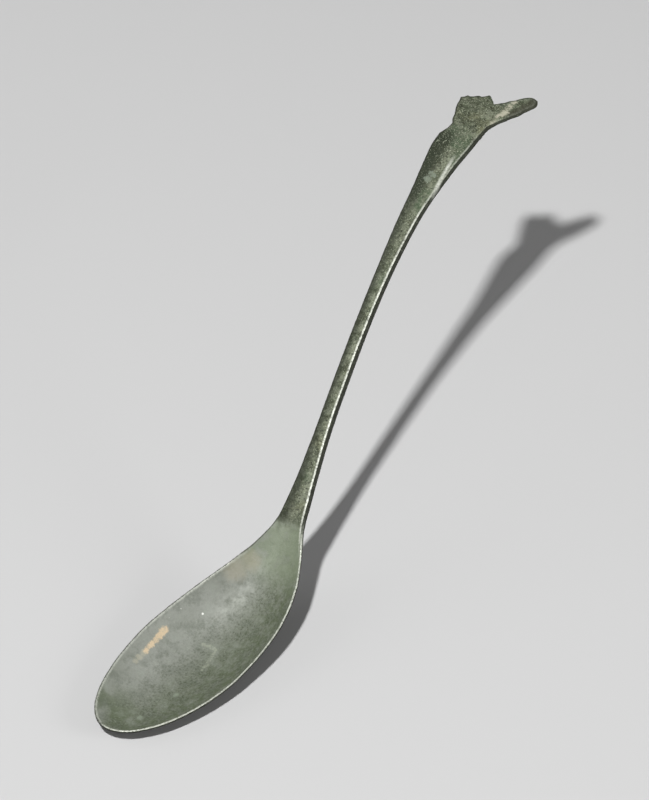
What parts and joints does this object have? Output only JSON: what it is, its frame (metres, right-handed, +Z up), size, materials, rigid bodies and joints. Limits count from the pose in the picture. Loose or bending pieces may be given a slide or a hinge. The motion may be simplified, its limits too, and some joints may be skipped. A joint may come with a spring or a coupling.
{
  "type": "spoon",
  "caption": "Bronze spoon with an ovate shallow bowl, an arched flat-topped handle and a broken flared terminal with one prong.",
  "frame": {"origin": "on the surface under the spoon, at the middle of its length and width", "axes": "+X along the spoon from the bowl's tip to the terminal, +Z up with the bowl held level"},
  "size_m": [0.194, 0.0322, 0.0673],
  "materials": {
    "bowl_bronze": "satin, corroded grey-green",
    "handle_bronze": "satin, corroded olive"
  },
  "bodies": {
    "root": {"bowl": "bowl_bronze", "neck": "handle_bronze", "stem": "handle_bronze", "terminal_plate": "handle_bronze", "terminal_prong": "handle_bronze"}
  },
  "joints": []
}
